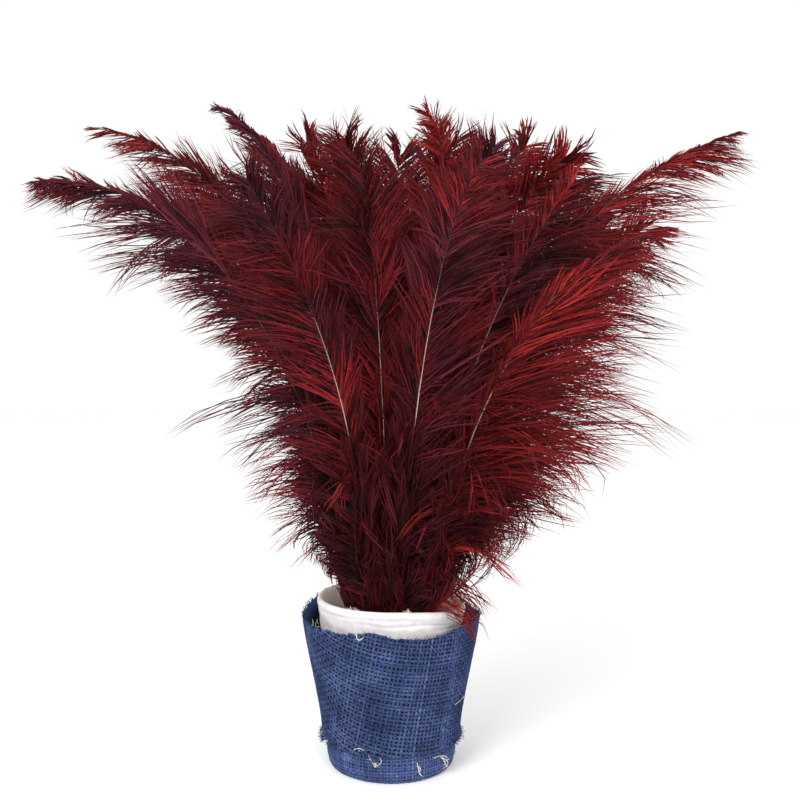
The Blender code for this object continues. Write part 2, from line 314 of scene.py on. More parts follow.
def quill_material():
    """Quill keratin: hard and waxy, pale beige where the dye missed it and brown-black where it took. Its
    lower half is near black as painted shade.
    """
    material = new_material("quill keratin")
    along = node(material, "Attribute", {}, "Fac", attribute_name="along")
    stain = node(material, "Attribute", {}, "Fac", attribute_name="shade")
    # Without a vector the noise runs over the feather's own box, so its streaks are a third of this size.
    streak = node(material, "TexNoise", {"Scale": spots(4.5), "Detail": 3.0})
    streak = node(material, "Math", {0: streak, 1: 0.14}, operation="MULTIPLY")
    place = node(material, "Math", {0: along, 1: streak}, operation="ADD")
    # The lower half of the quill, down in the bunch's dense core, is painted near black: painted shade.
    root = [(0.0, "#120809"), (0.5, "#2c1a18")]
    middle = [(0.62, "#b8a894"), (0.78, "#a09082")]
    end = [(0.9, "#40262a"), (1.0, "#1a0c10")]
    bare = node(material, "ValToRGB", {"Fac": place}, stops=root + middle + end)
    mixed = {"Factor": stain, "A": bare, "B": linear("#241014")}
    colour = node(material, "Mix", mixed, "Result", data_type="RGBA")
    finish = {"Base Color": colour, "Roughness": 0.5, "Specular IOR Level": 0.2, "IOR": 1.54}
    return finish_material(material, node(material, "BsdfPrincipled", finish))


def jute_material(name, dark, middle, pale):
    """Dyed jute: dry, matt, hairy yarn whose shade drifts from place to place and along each thread."""
    material = new_material(name)
    place = node(material, "TexCoord", {}, "Object")
    shade = node(material, "Attribute", {}, "Fac", attribute_name="shade")
    patches = node(material, "TexNoise", {"Vector": place, "Scale": spots(17), "Detail": 3.0})
    fibres = node(material, "TexNoise", {"Vector": place, "Scale": spots(0.9), "Detail": 3.0})
    total = node(material, "Math", {0: patches, 1: shade}, operation="ADD")
    total = node(material, "Math", {0: total, 1: fibres}, operation="ADD")
    tone = node(material, "Math", {0: total, 1: 1 / 3}, operation="MULTIPLY")
    plain = node(material, "ValToRGB", {"Fac": tone}, stops=[(0.34, dark), (0.5, middle), (0.66, pale)])
    drifts = node(material, "TexNoise", {"Vector": place, "Scale": spots(10.5), "Detail": 2.0})
    tints = [(0.4, "#2f6a74"), (0.5, "#808080"), (0.6, "#5c4a86")]
    tint = node(material, "ValToRGB", {"Fac": drifts}, stops=tints)
    mixed = {"Factor": 0.3, "A": plain, "B": tint}
    colour = node(material, "Mix", mixed, "Result", data_type="RGBA", blend_type="OVERLAY")
    bump = node(material, "Bump", {"Height": fibres, "Strength": 0.6, "Distance": 0.2 * MM})
    finish = {"Base Color": colour, "Roughness": 0.92, "Specular IOR Level": 0.2, "Normal": bump}
    return finish_material(material, node(material, "BsdfPrincipled", finish))


def cotton_material(name, shade, clean):
    """White cotton: a fine plain weave with soft pilling, matt, a little grey, and light comes through it."""
    material = new_material(name)
    place = node(material, "TexCoord", {}, "Object")
    weave = node(material, "TexNoise", {"Vector": place, "Scale": spots(0.62), "Detail": 2.0})
    pills = node(material, "TexNoise", {"Vector": place, "Scale": spots(4.3), "Detail": 5.0})
    colour = node(material, "ValToRGB", {"Fac": pills}, stops=[(0.3, shade), (0.65, clean)])
    height = node(material, "Math", {0: weave, 1: pills}, operation="ADD")
    bump = node(material, "Bump", {"Height": height, "Strength": 0.45, "Distance": 0.25 * MM})
    finish = {"Base Color": colour, "Roughness": 0.85, "Specular IOR Level": 0.25, "Normal": bump}
    surface = node(material, "BsdfPrincipled", finish)
    through = node(material, "BsdfTranslucent", {"Color": linear("#fff0e6")})
    return finish_material(material, node(material, "MixShader", {0: 0.42, 1: surface, 2: through}))


# ---------------------------------------------------------------- meshes


class Bundle:
    """Points and faces gathered from many small parts into one mesh, each with its strip of the UV square."""

    def __init__(self, columns=1, rows=1, margin=0.12):
        """The UV square is shared out in columns and rows of strips, with a margin above and below each."""
        self.columns, self.rows, self.margin = columns, rows, margin
        self.strips_used = 0
        self.points, self.faces, self.uvs = [], [], []
        self.shades, self.alongs, self.materials = [], [], []
        self.total = 0

    def strips(self, count=None):
        """The lowest and highest UV corner of the next strip, or as arrays of the next so many strips."""
        number = self.strips_used + (0 if count is None else np.arange(count))
        self.strips_used += 1 if count is None else count
        column, row = number % self.columns, number // self.columns
        low = ((column + 0.01) / self.columns, (row + self.margin) / self.rows)
        high = ((column + 0.99) / self.columns, (row + 1 - self.margin) / self.rows)
        return low, high

    def add(self, points, faces, shade, along=0.0, material=0):
        """faces is a list of (corners of one sort, UV corners) blocks that count from 0 within this part."""
        for corners, uv in faces:
            self.faces.append(np.asarray(corners) + self.total)
            self.uvs.append(np.broadcast_to(uv, (len(corners), len(corners[0]), 2)))
            self.materials.append(np.full(len(corners), material))
        self.points.append(points)
        self.shades.append(np.broadcast_to(shade, len(points)))
        self.alongs.append(np.broadcast_to(along, len(points)))
        self.total += len(points)

    def mesh(self, name, materials):
        """The gathered mesh, with its UV layer and with each point's shade and place along its part."""
        mesh = bpy.data.meshes.new(name)
        points = np.concatenate(self.points).astype(np.float32)
        sizes = np.concatenate([np.full(len(block), block.shape[1]) for block in self.faces])
        corners = np.concatenate([block.ravel() for block in self.faces]).astype(np.int32)
        mesh.vertices.add(len(points))
        mesh.vertices.foreach_set("co", points.ravel())
        mesh.loops.add(len(corners))
        mesh.loops.foreach_set("vertex_index", corners)
        mesh.polygons.add(len(sizes))
        mesh.polygons.foreach_set("loop_start", (np.cumsum(sizes) - sizes).astype(np.int32))
        for material in materials:
            mesh.materials.append(material)
        mesh.polygons.foreach_set("material_index", np.concatenate(self.materials).astype(np.int32))
        mesh.polygons.foreach_set("use_smooth", np.ones(len(sizes), bool))
        layer = mesh.uv_layers.new(name="OFBake")
        layer.uv.foreach_set("vector", np.concatenate([uv.ravel() for uv in self.uvs]).astype(np.float32))
        for key, values in (("shade", self.shades), ("along", self.alongs)):
            attribute = mesh.attributes.new(key, "FLOAT", "POINT")
            attribute.data.foreach_set("value", np.concatenate(values).astype(np.float32))
        mesh.update(calc_edges=True)
        mesh.validate()
        return mesh

    def piece(self, name, materials, replaced=()):
        """The gathered mesh as a piece of the model, which rides on its one body. The parts that it replaces
        are hidden.
        """
        obj = bpy.data.objects.new(name, self.mesh(name, materials))
        bpy.context.scene.collection.objects.link(obj)
        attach(obj, "root")
        if replaced:
            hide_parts(*replaced)
        return obj


def unit(vectors):
    """The vectors at length 1."""
    return vectors / np.maximum(np.linalg.norm(vectors, axis=-1, keepdims=True), 1e-12)


def grid_uv(u0, u1, v0, v1):
    """The UV corners of a grid of faces, from where each row and column of it starts and ends."""
    u0, u1, v0, v1 = np.broadcast_arrays(u0, u1, v0, v1)
    corners = [np.stack(corner, axis=2) for corner in ((u0, v0), (u0, v1), (u1, v1), (u1, v0))]
    return np.stack(corners, axis=2).reshape(-1, 4, 2)


def tube(rings, low, high, end_uv):
    """A closed tube through rings of points, and its faces with their UV corners between low and high."""
    count, sides = rings.shape[:2]
    start = sides * np.arange(count - 1)[:, None]
    side = np.arange(sides)[None, :]
    turn = (side + 1) % sides
    walls = np.stack([start + side, start + turn, start + sides + turn, start + sides + side], axis=2)
    u = low[0] + (high[0] - low[0]) * np.arange(count)[:, None] / (count - 1)
    v = low[1] + (high[1] - low[1]) * np.arange(sides + 1)[None, :] / sides
    wall_uv = grid_uv(u[:-1], u[1:], v[:, :-1], v[:, 1:])
    ends = np.stack([np.arange(sides)[::-1], np.arange(sides) + sides * (count - 1)])
    return rings.reshape(-1, 3), [(walls.reshape(-1, 4), wall_uv), (ends, end_uv)]


def add_thread(bundle, line, out, half_width, half_thickness, shade):
    """A closed thread with a lens-shaped section along a line. Its flat side faces out."""
    ahead = unit(np.gradient(line, axis=0))
    across = unit(np.cross(out, ahead))
    out = np.cross(ahead, across)
    wide = across * half_width[:, None]
    thick = out * half_thickness[:, None]
    rings = np.stack([line + wide, line + thick, line - wide, line - thick], axis=1)
    low, high = bundle.strips()
    end_uv = np.array([low, (high[0], low[1]), high, (low[0], high[1])])
    points, faces = tube(rings, low, high, end_uv)
    bundle.add(points, faces, shade)


# ---------------------------------------------------------------- the feathers


def layer_depth(layer, side, height):
    """How far back a layer of the fan lies at a place on it, as in the frame."""
    up = np.maximum(0.0, height / FAN_HEIGHT)
    open_out = FOOT_DEPTH + (FAN_DEPTH - FOOT_DEPTH) * (0.3 * up + 0.7 * up**2)
    across = np.minimum(1.0, np.abs(side) / FAN_HALF_WIDTH)
    return layer * open_out * (1 - SIDE_PULL * up * across**2)


def facing_of(feather):
    """1 where the feather leans to the right, and -1 where it leans to the left."""
    return 1.0 if feather.side >= 0 else -1.0


def is_curled(feather):
    """Whether the feather's tip curls over."""
    return abs(feather.lean) >= CURLED_TIP


def is_slender(feather):
    """Whether the feather runs out into a long thin curled tip."""
    return is_curled(feather) and abs(feather.side) > SLENDER_TIP


def quill_lines(feather, foot_side):
    """Evenly spaced points along the quill, and at each of them the ways ahead, across and out."""
    start = np.array([foot_side, FOOT_REST])
    end = np.array([feather.side * MM, feather.height * MM])
    reach = np.linalg.norm(end - start) * feather.lean_reach
    lean = math.radians(feather.lean)
    first = start + [LEAN_IN * (end[0] - start[0]), RISE * (end[1] - start[1])]
    second = end - reach * np.array([math.sin(lean), math.cos(lean)])
    t = np.linspace(0, 1, CURVE_POINTS)[:, None]
    flat = (1 - t) ** 3 * start + 3 * (1 - t) ** 2 * t * first + 3 * (1 - t) * t**2 * second + t**3 * end
    depth = layer_depth(feather.layer, flat[:, 0], flat[:, 1])
    dense = np.stack([flat[:, 0], depth, flat[:, 1]], axis=1)
    length = np.concatenate([[0], np.cumsum(np.linalg.norm(np.diff(dense, axis=0), axis=1))])
    shown = SLENDER_TIP_SHARE if is_slender(feather) else BLUNT_TIP_SHARE
    at = np.linspace(0, shown * length[-1], QUILL_POINTS)
    line = np.stack([np.interp(at, length, dense[:, i]) for i in range(3)], axis=1)
    ahead = unit(np.gradient(line, axis=0))
    across = unit(np.cross([0.0, 1.0, 0.0], ahead))
    out = unit(np.cross(ahead, across))
    return line, ahead, across, out


def add_quill(bundle, lines, stain):
    """The quill as a tapering round tube with closed ends. Its UV band lies above the barbs' strips."""
    line, _, across, out = lines
    share = np.linspace(0, 1, len(line))
    radius = np.interp(share, QUILL_TAPER_AT, QUILL_TAPER) * MM
    turn = np.arange(QUILL_SIDES) * math.tau / QUILL_SIDES
    ring = across[:, None] * np.cos(turn)[None, :, None] + out[:, None] * np.sin(turn)[None, :, None]
    rings = line[:, None] + ring * radius[:, None, None]
    points, faces = tube(rings, (0, BARB_UV_TOP), (1, 1), np.zeros(2))
    bundle.add(points, faces, stain, np.repeat(share, QUILL_SIDES), QUILL_SLOT)


def along_line(values, share):
    """Values read at shares of the quill's length."""
    at = np.clip(share, 0, 1) * (len(values) - 1)
    low = np.minimum(at.astype(int), len(values) - 2)
    part = (at - low)[:, None]
    return values[low] * (1 - part) + values[low + 1] * part


def barb_paths(lines, root, side, angle, tilt, bend, length, droop):
    """Each barb's points: away from the quill at an angle, bending outward, and sagging towards its end."""
    base, ahead, across, out = (along_line(values, root) for values in lines)
    turned = np.radians(angle)[:, None] + np.radians(bend)[:, None] * ALONG_BARB
    lifted = np.radians(tilt)[:, None] * (0.6 + 0.7 * ALONG_BARB)
    sideways = (across * side[:, None])[:, None]
    outward = np.cos(lifted)[..., None] * sideways + np.sin(lifted)[..., None] * out[:, None]
    ways = np.cos(turned)[..., None] * ahead[:, None] + np.sin(turned)[..., None] * outward
    steps = (ways[:, 1:] + ways[:, :-1]) / 2 * (length[:, None, None] / BARB_STEPS)
    path = base[:, None] + np.concatenate([np.zeros((len(root), 1, 3)), np.cumsum(steps, axis=1)], axis=1)
    level = np.linalg.norm(ways[:, :, :2], axis=2)
    path[:, :, 2] -= droop[:, None] * length[:, None] * level * ALONG_BARB**2
    return path


def waved(rng, path, length, size):
    """A wander along each barb that grows towards its end."""
    for axis in range(3):
        phase = rng.uniform(0, math.tau, len(path))[:, None]
        turns = rng.uniform(0.6, 1.7, len(path))[:, None]
        reach = rng.normal(0, size, len(path))[:, None] * length[:, None]
        path[:, :, axis] += reach * ALONG_BARB**1.3 * np.sin(phase + turns * math.tau * ALONG_BARB)
    return path


def eased(part, free):
    """Shares of a limit, free up to the given share and eased above it so that they never pass 1."""
    return np.where(part > free, free + (1 - free) * np.tanh((part - free) / (1 - free)), part)


def kept_in_depth(path):
    """Wild barbs reach little further forward and back than the bunch itself."""
    depth = path[:, :, 1]
    limit = np.where(depth < 0, -CAD_BOX[0].y, CAD_BOX[1].y)
    path[:, :, 1] = limit * np.sign(depth) * eased(np.abs(depth) / limit, DEPTH_FREE_SHARE)
    return path


def held_in_mouth(path):
    """Inside the vase the barbs are squeezed by its mouth. Above the rim they spill out."""
    above = np.maximum(0.0, path[:, :, 2] - LINING_TOP)
    hold = np.clip(1 - above / MOUTH_REACH, 0, 1)
    for axis, most in ((0, MOUTH_HALF_WIDTH), (1, MOUTH_HALF_DEPTH)):
        limit = most + MOUTH_OPENING * above**2
        squeezed = limit * np.sign(path[:, :, axis]) * eased(np.abs(path[:, :, axis]) / limit, FREE_SHARE)
        path[:, :, axis] += hold * (squeezed - path[:, :, axis])
    height = path[:, :, 2]
    room = lining_radius(np.minimum(height, LINING_TOP)) - LINING_WALL - WALL_GAP + LIP_OPENING * above
    part = np.maximum(np.hypot(path[:, :, 0], path[:, :, 1]) / room, 0.01)
    path[:, :, :2] *= (eased(part, FREE_SHARE) / part)[..., None]
    return path


def hung_outside(path):
    """Barbs that spill over the rim hang clear of the sleeve."""
    height = path[:, :, 2]
    distance = np.hypot(path[:, :, 0], path[:, :, 1])
    over = np.clip((distance / lining_radius(LINING_TOP) - 1) / 0.12, 0, 1) * (height < LINING_TOP + 2 * MM)
    clear = sleeve_radius(np.minimum(height, RIM)) + WALL_GAP
    scale = 1 + over * np.maximum(0.0, clear / np.maximum(distance, MM) - 1)
    path[:, :, :2] *= scale[..., None]
    return path


def gathered(rng, lines, tufts, members, pull, loose, wave, held):
    """Barbs in tufts: each follows its own path, and its end is drawn to the middle of its tuft."""
    root, side, angle, tilt, bend, length, droop, shade = tufts
    guide = barb_paths(lines, root, side, angle, tilt, bend, length, droop)
    own = np.repeat(np.arange(len(root)), members)
    count = len(own)
    roots = np.clip(root[own] + rng.normal(0, 0.006, count), 0.02, 1.0)
    angles = angle[own] + rng.normal(0, 5, count) * loose
    tilts = tilt[own] + rng.normal(0, 9, count) * loose
    bends = bend[own] + rng.normal(0, 4, count)
    lengths = length[own] * rng.uniform(0.62, 1.08, count)
    droops = droop[own] + rng.normal(0, 0.03, count)
    path = barb_paths(lines, roots, side[own], angles, tilts, bends, lengths, droops)
    drawn = np.interp(roots, [0.5, 0.9], [1.0, 0.6]) * rng.uniform(0.55, 1.0, count)
    drawn = pull * ALONG_BARB[None, :, None] ** 1.3 * drawn[:, None, None]
    path = path * (1 - drawn) + guide[own] * drawn
    path = waved(rng, path, lengths, wave)
    path = kept_in_depth(held_in_mouth(path) if held else hung_outside(path))
    shades = shade[own] + rng.normal(0, 0.10, count)
    shades = np.clip(shades * np.where(rng.uniform(size=count) < DARK_BARBS, 0.35, 1.08), 0, 1)
    return path, along_line(lines[3], roots), shades


def add_barbs(bundle, rng, path, normals, shade, width):
    """Each barb as a narrow ribbon that ends in a point."""
    count = len(path)
    corners_each = 2 * BARB_STEPS + 1
    ahead = unit(np.gradient(path, axis=1))
    roll = rng.normal(0, 0.7, count)[:, None] + rng.normal(0, 0.9, count)[:, None] * ALONG_BARB
    flat = unit(np.cross(ahead, normals[:, None]))
    up = np.cross(flat, ahead)
    wide = np.cos(roll)[..., None] * flat + np.sin(roll)[..., None] * up
    taper = np.interp(ALONG_BARB, [0, 0.25, 0.7, 1], [0.7, 1.0, 0.95, 0.45])
    widths = width * rng.uniform(0.7, 1.3, count)[:, None] * taper
    points = np.empty((count, corners_each, 3))
    points[:, 0:-1:2] = (path - wide * widths[..., None] / 2)[:, :-1]
    points[:, 1:-1:2] = (path + wide * widths[..., None] / 2)[:, :-1]
    points[:, -1] = path[:, -1]
    first = np.arange(count)[:, None] * corners_each
    low, high = bundle.strips(count)
    blocks = []
    for i in range(BARB_STEPS):
        near = low[0] + (high[0] - low[0]) * ALONG_BARB[i]
        far = low[0] + (high[0] - low[0]) * ALONG_BARB[i + 1]
        if i < BARB_STEPS - 1:
            corners = first + np.array([2 * i, 2 * i + 1, 2 * i + 3, 2 * i + 2])
            us, vs = (near, near, far, far), (low[1], high[1], high[1], low[1])
        else:
            corners = first + np.array([2 * i, 2 * i + 1, 2 * i + 2])
            us, vs = (near, near, far), (low[1], high[1], (low[1] + high[1]) / 2)
        blocks.append((corners, np.stack([np.stack(us, 1), np.stack(vs, 1)], axis=2)))
    along = np.append(np.repeat(ALONG_BARB[:-1], 2), 1.0)
    shades = np.repeat(shade, corners_each)
    bundle.add(points.reshape(-1, 3), blocks, shades, np.tile(along, count), BARB_SLOT)


def drift(rng, share, turns):
    """A smooth random run of values about 0 along the quill."""
    total = np.zeros_like(share)
    for i in range(1, 4):
        total += rng.normal(0, 1 / i) * np.sin(math.tau * (turns * i * share + rng.uniform()))
    return total


def vane_ways(rng, feather, root, faces_out, spread):
    """How each tuft of the vanes stands: its angle to the quill, its tilt out of the vane, and its bend."""
    count = len(root)
    slender = is_slender(feather)
    outer = spread * faces_out
    inner = spread * ~faces_out
    wild = rng.uniform(size=count) < WILD_SHARE
    # Low on the quill the outer barbs stand out wide. Towards a slender tip all of them lie close.
    angles = [20, 20, 16, 13, 10] if slender else [20, 23, 29, 36, 30]
    angle = np.interp(root, [VANE_START, 0.5, 0.75, 0.93, 1.0], angles)
    angle += np.interp(root, [0.2, 0.55, 0.8, 1.0], [44, 38, 12, 2]) * outer - 8 * inner
    angle += rng.normal(0, 5, count) + wild * rng.uniform(0, 28, count)
    angle *= np.where(faces_out, 1.0, 0.4 + 0.6 * min(1.0, feather.inner_share))
    outer_bend = np.interp(root, [0.2, 0.5, 0.75, 1.0], [24, 16, 8, 4])
    bend = rng.normal(6, 6, count) + outer_bend * outer - 6 * inner
    bend += 0 if slender else np.interp(root, [0.6, 0.9], [0, 14])
    bend += wild * rng.normal(0, 28, count)
    # Most barbs stay near the plane of the vane, and some stand all round the quill.
    tilt = rng.normal(0, 1, count) * (np.interp(root, [0.3, 0.6], [42, 22]) + 20 * wild)
    round_share = 0.2 if slender or abs(feather.layer) == 1 else 0.45
    tilt = np.where(rng.uniform(size=count) < round_share, rng.uniform(-100, 100, count), tilt)
    return angle, tilt, bend


def vane_lengths(rng, feather, root, faces_out, spread):
    """How long each tuft of the vanes is. They shorten towards the tip, most of all at a slender one."""
    count = len(root)
    outer = spread * faces_out
    outer_tip = inner_tip = [1.0, 0.88, 0.66, 0.42]
    if is_curled(feather):
        outer_tip = inner_tip = [0.96, 0.8, 0.5, 0.24]
    if is_slender(feather):
        outer_tip = [0.98, 0.62, 0.34, 0.12]
        inner_tip = [0.74, 0.28, 0.16, 0.08]
    grown_at = [VANE_START, 0.25, 0.4, 0.65, 0.78, 0.88, 0.95, 1.0]
    lengths = [np.interp(root, grown_at, [0.8, 1.05, 1.12, 1.05, *tip]) for tip in (outer_tip, inner_tip)]
    grown = np.where(faces_out, *lengths)
    # The outer barbs are longest at the bunch's right. At its left most are short, and a few hang long.
    if facing_of(feather) > 0:
        reach = 1 + 0.55 * outer * np.interp(root, [0.4, 0.55, 0.85], [0.8, 1.0, 0.5])
    else:
        short = (rng.uniform(size=count) > LONG_LOCKS) & (outer > 0)
        shorter = np.interp(root, [0.15, 0.35, 0.52, 0.68, 0.85], [0.3, 0.66, 0.66, 0.25, 0.1])
        reach = 1 + 0.2 * outer - np.where(short, 1.0, 0.55) * outer * shorter
    reach = np.where(faces_out, reach, feather.inner_share)
    lumps = 1 + 0.10 * drift(rng, root, 5.0)
    return feather.barb * MM * grown * reach * lumps * rng.uniform(0.6, 1.12, count)


def vane_tufts(rng, feather):
    """The feather's two vanes. On the side that faces out of the bunch they spread wider and droop more."""
    count = feather.tufts
    spread = min(1.0, abs(feather.side) * MM / FAN_HALF_WIDTH)
    root = VANE_START + (1 - VANE_START) * rng.uniform(0, 1, count) ** 0.95
    side = either_side(rng, count)
    faces_out = side == facing_of(feather)
    angle, tilt, bend = vane_ways(rng, feather, root, faces_out, spread)
    length = vane_lengths(rng, feather, root, faces_out, spread)
    outer_droop = np.interp(root, [0.3, 0.7], [0.22, 0.08]) * (spread * faces_out)
    droop = np.abs(rng.normal(0.03, 0.06, count)) + outer_droop
    # The dye drifts along each vane. Towards the feather's foot the shade is darkened as painted shade of the
    # bunch's dense core.
    tone = 0.51 + 0.14 * np.where(side > 0, drift(rng, root, 1.6), drift(rng, root, 1.9))
    shade = (tone + rng.normal(0, 0.09, count)) * np.interp(root, [0.15, 0.34, 0.54], [0.12, 0.42, 1.0])
    return root, side, angle, tilt, bend, length, droop, shade


def either_side(rng, count, right_share=0.5):
    """1 or -1 for each, with the given share at 1."""
    return np.where(rng.uniform(size=count) < right_share, 1.0, -1.0)


def fluff_tufts(rng, count):
    """Tangled down all round the lower quill, nearly black: dark dye, darkened further as painted shade of
    the bunch's core.
    """
    root = rng.uniform(0.1, 0.45, count)
    angle = rng.normal(30, 14, count)
    tilt = rng.uniform(-90, 90, count)
    bend = rng.normal(6, 22, count)
    length = rng.uniform(20, 42, count) * MM
    droop = np.abs(rng.normal(0.08, 0.12, count))
    shade = np.clip(rng.normal(0.10, 0.10, count), 0, 1)
    return root, either_side(rng, count), angle, tilt, bend, length, droop, shade


def cover_tufts(rng, count, front):
    """Down that lies over the outer face of the lower quill and hides it. front is -1 or 1."""
    root = rng.uniform(0.16, 0.52, count)
    angle = rng.normal(13, 5, count)
    tilt = front * rng.normal(92, 26, count)
    bend = rng.normal(2, 16, count)
    length = rng.uniform(26, 46, count) * MM
    droop = np.abs(rng.normal(0.05, 0.06, count))
    # The down is dark: dye, with painted shade of the bunch's core.
    shade = np.clip(rng.normal(0.16, 0.12, count), 0, 1)
    return root, either_side(rng, count), angle, tilt, bend, length, droop, shade


def stray_tufts(rng, count, facing, front):
    """Bright wisps that hang out of the bunch's face and its outer side."""
    root = rng.uniform(0.26, 0.62, count)
    side = facing * either_side(rng, count, 0.6)
    angle = rng.uniform(30, 120, count)
    tilt = front * rng.normal(40, 30, count)
    bend = rng.normal(10, 24, count)
    length = rng.uniform(20, 42, count) * MM
    droop = rng.uniform(0.1, 0.6, count)
    shade = rng.uniform(0.4, 0.85, count)
    return root, side, angle, tilt, bend, length, droop, shade


def lock_tufts(rng, count, facing):
    """Long locks that splay out from the waist of the bunch and sag at their ends."""
    root = rng.uniform(0.36, 0.48, count)
    angle = rng.uniform(45, 80, count)
    tilt = rng.normal(0, 25, count)
    bend = rng.uniform(0, 45, count)
    length = rng.uniform(40, 60, count) * MM
    droop = rng.uniform(0.1, 0.45, count)
    shade = rng.uniform(0.6, 1.0, count)
    return root, np.full(count, facing), angle, tilt, bend, length, droop, shade


def spill_tufts(rng, count):
    """Bright barbs that arch over the rim of the lining and hang outside the vase."""
    root = rng.uniform(0.27, 0.34, count)
    angle = rng.uniform(40, 80, count)
    tilt = rng.uniform(-50, 10, count)
    bend = rng.uniform(50, 95, count)
    length = rng.uniform(28, 50, count) * MM
    droop = rng.uniform(0.15, 0.4, count)
    shade = rng.uniform(0.3, 0.7, count)
    return root, np.ones(count), angle, tilt, bend, length, droop, shade


def make_feather(number, feather, foot_side):
    """One feather as one mesh: its quill, its vanes, the down at its foot and its stray wisps."""
    rng = np.random.default_rng(FEATHER_SEED + number)
    lines = quill_lines(feather, foot_side)
    facing = facing_of(feather)
    front = -1.0 if feather.layer < 0 else 1.0
    width = INNER_BARB_WIDTH if 0 < feather.layer < 1 else BARB_WIDTH
    covers = FRONT_COVER_TUFTS if abs(feather.layer) >= 1 else COVER_TUFTS
    # Tufts, barbs in each, how far they draw together, how loosely they start, their waviness, their width,
    # and whether the mouth of the vase squeezes them.
    kinds = [
        (vane_tufts(rng, feather), VANE_MEMBERS, 0.9, 1.2, 0.025, width, True),
        (fluff_tufts(rng, FLUFF_TUFTS), 8, 0.6, 1.6, 0.06, width, True),
        (cover_tufts(rng, covers, front), 8, 0.5, 1.8, 0.05, width, True),
        (stray_tufts(rng, STRAY_TUFTS, facing, front), 5, 0.9, 0.6, 0.05, THIN_BARB_WIDTH, True),
    ]
    if abs(feather.side) > OUTER_TIP:
        kinds.append((lock_tufts(rng, LOCK_TUFTS, facing), 7, 0.9, 1.0, 0.035, BARB_WIDTH, False))
    if number == SPILLING_FEATHER:
        kinds.append((spill_tufts(rng, SPILL_TUFTS), 7, 0.7, 1.2, 0.04, BARB_WIDTH, False))
    barbs = sum(len(tufts[0]) * members for tufts, members, *_ in kinds)
    bundle = Bundle(BARB_UV_COLUMNS, math.ceil(barbs / BARB_UV_COLUMNS / BARB_UV_TOP))
    add_quill(bundle, lines, feather.stain)
    for tufts, members, pull, loose, wave, width, held in kinds:
        path, normals, shade = gathered(rng, lines, tufts, members, pull, loose, wave, held)
        add_barbs(bundle, rng, path, normals, shade, width)
    finishes = [QUILL, BARBS[feather.dye]]
    bundle.piece(f"plume_{number:02d}", finishes, [f"feather_{number:02d}"])


def make_feathers():
    """Every feather, with the feet of each layer side by side on the vase's floor."""
    layers = {}
    for number, feather in enumerate(FEATHERS, 1):
        layers.setdefault(feather.layer, []).append((number, feather))
    for members in layers.values():
        middle = (len(members) - 1) / 2
        for i, (number, feather) in enumerate(members):
            make_feather(number, feather, (i - middle) * FOOT_SPACING)


# ---------------------------------------------------------------- the vase


def sleeve_radius(height):
    """The sleeve's outer radius. Its taper eases off towards the rim, and its hem stands off the base cup."""
    rim_ease = RIM_FLARE * np.maximum(0.0, height - RIM_FLARE_START) ** 2
    hem_stand = HEM_STAND * np.exp(-np.maximum(0.0, height - HEM) / HEM_STAND_REACH)
    return FOOT_RADIUS + FUZZ + TAPER * height - rim_ease + hem_stand


def lining_radius(height):
    """The lining's outer radius, before its folds."""
    return LINING_FOOT_RADIUS + LINING_TAPER * height


def placed(radius, turn, height):
    """Points at a radius from the vase's axis, a turn in radians and a height."""
    return np.stack(np.broadcast_arrays(radius * np.cos(turn), radius * np.sin(turn), height), axis=-1)


def degrees_from(place, angle):
    """How far compass angles are from a place on the compass, between -180 and 180."""
    return (angle - place + 180) % 360 - 180


def rim_height(angle):
    """The torn rim's height at a compass angle in degrees."""
    height = np.full_like(angle, RIM)
    for place, width, rise in RIM_CHANGES:
        height += rise * MM * np.exp(-((degrees_from(place, angle) / width) ** 2))
    return height


def wrapped(across, up, lift):
    """A place on the flat burlap, wrapped onto the cone: where it is, its turn in degrees and its height."""
    apex = FOOT_RADIUS / TAPER
    slope = math.atan(TAPER)
    slant = apex / math.cos(slope)
    far = np.hypot(across, up + slant)
    turn = np.degrees(np.arctan2(across, up + slant)) / math.sin(slope)
    height = (far - slant) * math.cos(slope)
    over = OVERLAP_LIFT * np.clip((turn - OVERLAP_START) / OVERLAP_RISE, 0, 1)
    radius = sleeve_radius(height) - SLEEVE_CLOTH / 2 + lift + over
    return placed(radius, np.radians(GRAIN_ANGLE + turn), height), turn, height


def runs_of(inside):
    """The (start, end) of every run of true values."""
    edges = np.flatnonzero(np.diff(np.concatenate([[0], inside.astype(int), [0]])))
    return list(zip(edges[::2], edges[1::2]))


def add_yarn(rng, bundle, line, out, width, thickness):
    """One thread of jute along a line: it swells and thins, and its shade drifts."""
    count = len(line)
    swell = 1 + 0.12 * np.sin(np.arange(count) * 0.35 + rng.uniform(0, math.tau)) + rng.normal(0, 0.05, count)
    swell *= rng.uniform(0.9, 1.1)
    shade = np.clip(rng.normal(0.5, 0.07) + rng.normal(0, 0.05, count), 0, 1)
    add_thread(bundle, line, out, width / 2 * swell, thickness / 2 * np.sqrt(swell), np.repeat(shade, 4))


def outward_of(line):
    """The way out of the vase's side at each point of a line."""
    return unit(line * [1, 1, 0] - [0, 0, TAPER * FOOT_RADIUS])


